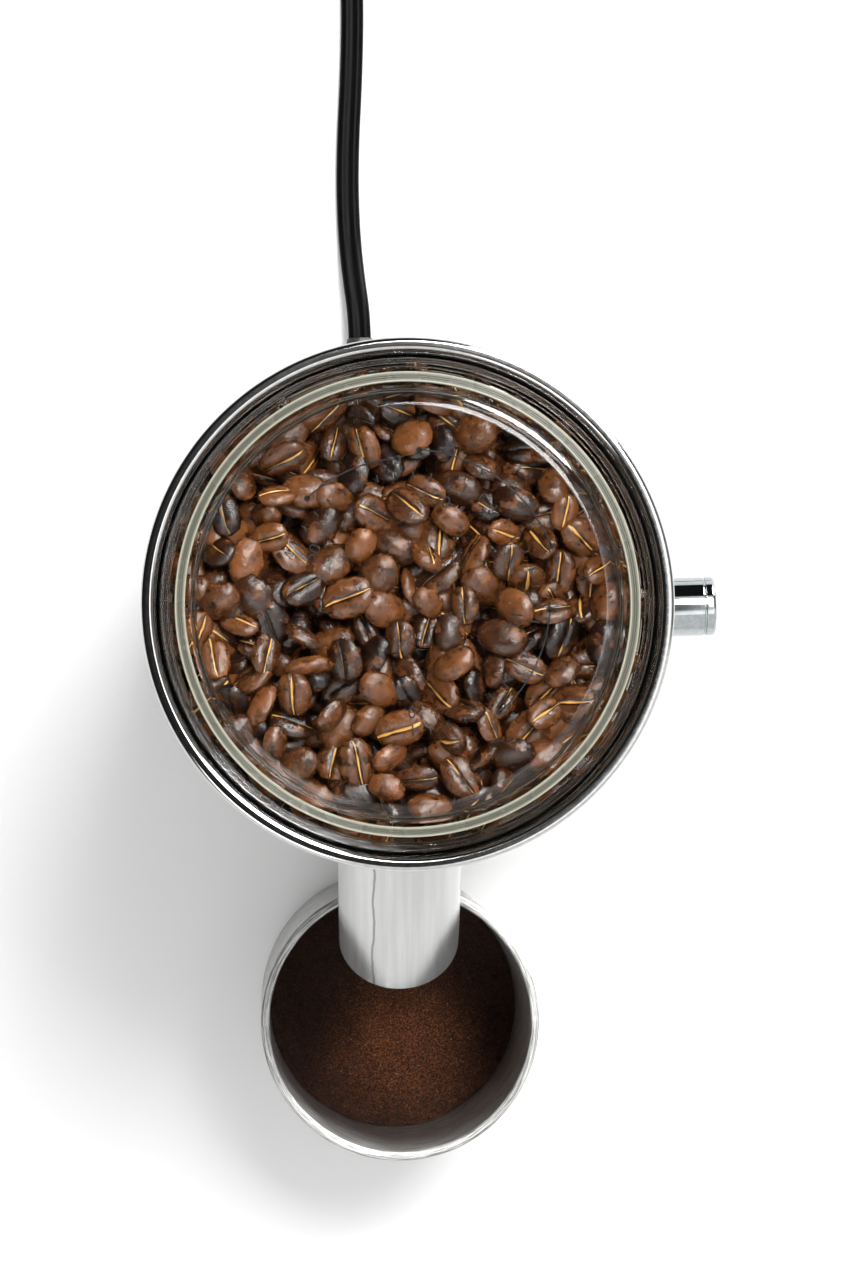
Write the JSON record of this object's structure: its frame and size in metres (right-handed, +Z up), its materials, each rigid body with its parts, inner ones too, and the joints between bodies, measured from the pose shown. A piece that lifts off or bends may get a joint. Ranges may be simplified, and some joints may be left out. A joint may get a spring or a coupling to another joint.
{
  "type": "burr coffee grinder",
  "caption": "Round steel burr coffee grinder with a clear lidded hopper, slanted front spout, lift-off metal cup, side push knob and a coiled mains flex.",
  "frame": {"origin": "on the table, at the centre of the underside of the foot pad, on the axis of the round body", "axes": "+Z up along the axis of the body, -Y towards the spout and the cup, +X towards the knob, +Y towards the flex"},
  "size_m": [0.206, 0.4656, 0.28],
  "materials": {
    "brushed_steel": "polished, rounded edges",
    "polished_steel": "polished",
    "knob_chrome": "mirror",
    "cup_metal": "fine satin brushing",
    "clear_plastic": "clear, glossy",
    "pale_silicone": "translucent, fine rings",
    "black_rubber": "matte",
    "black_plastic": "moulded",
    "cast_alloy": "as cast",
    "hard_steel": "machined",
    "gear_nylon": "moulded",
    "motor_paint": "zinc and paint",
    "brass_parts": "machined",
    "armature_steel": "laminated",
    "board_green": "solder mask",
    "component_black": "moulded",
    "flex_black": "glossy moulded"
  },
  "bodies": {
    "base": {"foot_pad": "black_rubber", "base_plate": "black_plastic", "outer_shell": "brushed_steel", "frame_posts": "hard_steel", "frame_screws": "hard_steel", "top_deck": "black_plastic", "gear_plate": "cast_alloy", "gear_case": "black_plastic", "grinder_housing": "cast_alloy", "housing_screws": "hard_steel", "main_bearings": "hard_steel", "shaft_seal": "black_rubber", "spout_tube": "polished_steel", "chute_gasket": "black_rubber", "chute": "black_plastic", "small_screws": "hard_steel", "knob_bush": "knob_chrome", "knob_bush_nut": "hard_steel", "knob_spring": "hard_steel", "switch_body": "black_plastic", "switch_bracket": "hard_steel", "motor_can": "motor_paint", "motor_end_bell": "black_plastic", "motor_bushes": "brass_parts", "motor_magnets": "motor_paint", "motor_brushes": "brass_parts", "motor_isolator": "black_rubber", "control_board": "board_green", "board_components": "component_black", "strain_relief": "black_rubber", "power_cord": "flex_black", "cord_coil": "flex_black", "cord_tie": "flex_black", "cord_tail": "flex_black", "plug_body": "flex_black", "plug_blades": "brass_parts"},
    "collar": {"collar_nut": "gear_nylon", "adjust_collar": "brushed_steel", "collar_screws": "hard_steel"},
    "burr_lift": {"upper_burr": "hard_steel", "upper_burr_carrier": "cast_alloy", "upper_burr_screws": "hard_steel"},
    "hopper_unit": {"hopper": "clear_plastic", "finger_guard": "black_plastic", "rim_ring": "brushed_steel"},
    "lid_unit": {"lid": "clear_plastic", "lid_seal": "pale_silicone"},
    "burr_rotor": {"burr_shaft": "hard_steel", "bearing_inner_races": "hard_steel", "drive_gear": "gear_nylon", "lower_burr_carrier": "cast_alloy", "lower_burr": "hard_steel", "lower_burr_screws": "hard_steel", "feed_cone": "hard_steel"},
    "motor_rotor": {"motor_shaft": "hard_steel", "armature": "armature_steel", "motor_pinion": "hard_steel"},
    "knob_push_rod": {"knob_stem": "hard_steel"},
    "knob": {"knob_cap": "knob_chrome"},
    "cup": {"grounds_cup": "cup_metal"}
  },
  "joints": [
    {"name": "collar_turn", "type": "hinge", "parent": "base", "child": "collar", "pos_m": [0, 0, 0.2066], "axis": [0, 0, 1], "range_deg": [-60, 240]},
    {"name": "burr_lift", "type": "slide", "parent": "base", "child": "burr_lift", "axis": [0, 0, 1], "range_m": [-0.0005, 0.002]},
    {"name": "hopper_lift", "type": "slide", "parent": "collar", "child": "hopper_unit", "axis": [0, 0, 1], "range_m": [0, 0.1]},
    {"name": "lid_lift", "type": "slide", "parent": "hopper_unit", "child": "lid_unit", "axis": [0, 0, 1], "range_m": [0, 0.06]},
    {"name": "burr_spin", "type": "hinge", "parent": "base", "child": "burr_rotor", "pos_m": [0, 0, 0.15], "axis": [0, 0, 1], "continuous": true},
    {"name": "motor_spin", "type": "hinge", "parent": "base", "child": "motor_rotor", "pos_m": [0, 0.034, 0.08], "axis": [0, 0, 1], "continuous": true},
    {"name": "knob_push", "type": "slide", "parent": "base", "child": "knob_push_rod", "axis": [-1, 0, 0], "range_m": [0, 0.0015], "stiffness_N_per_m": 800, "deforming": ["knob_spring"]},
    {"name": "knob_turn", "type": "hinge", "parent": "knob_push_rod", "child": "knob", "pos_m": [0.078, 0, 0.15], "axis": [1, 0, 0], "range_deg": [-150, 150]},
    {"name": "cup_slide", "type": "slide", "parent": "base", "child": "cup", "axis": [0, -1, 0], "range_m": [0, 0.12]}
  ],
  "couplings": [
    {"joint": "burr_lift", "follows": "collar_turn", "m_per_rad": 0.00047746},
    {"joint": "motor_spin", "follows": "burr_spin", "ratio": -3.8571}
  ]
}
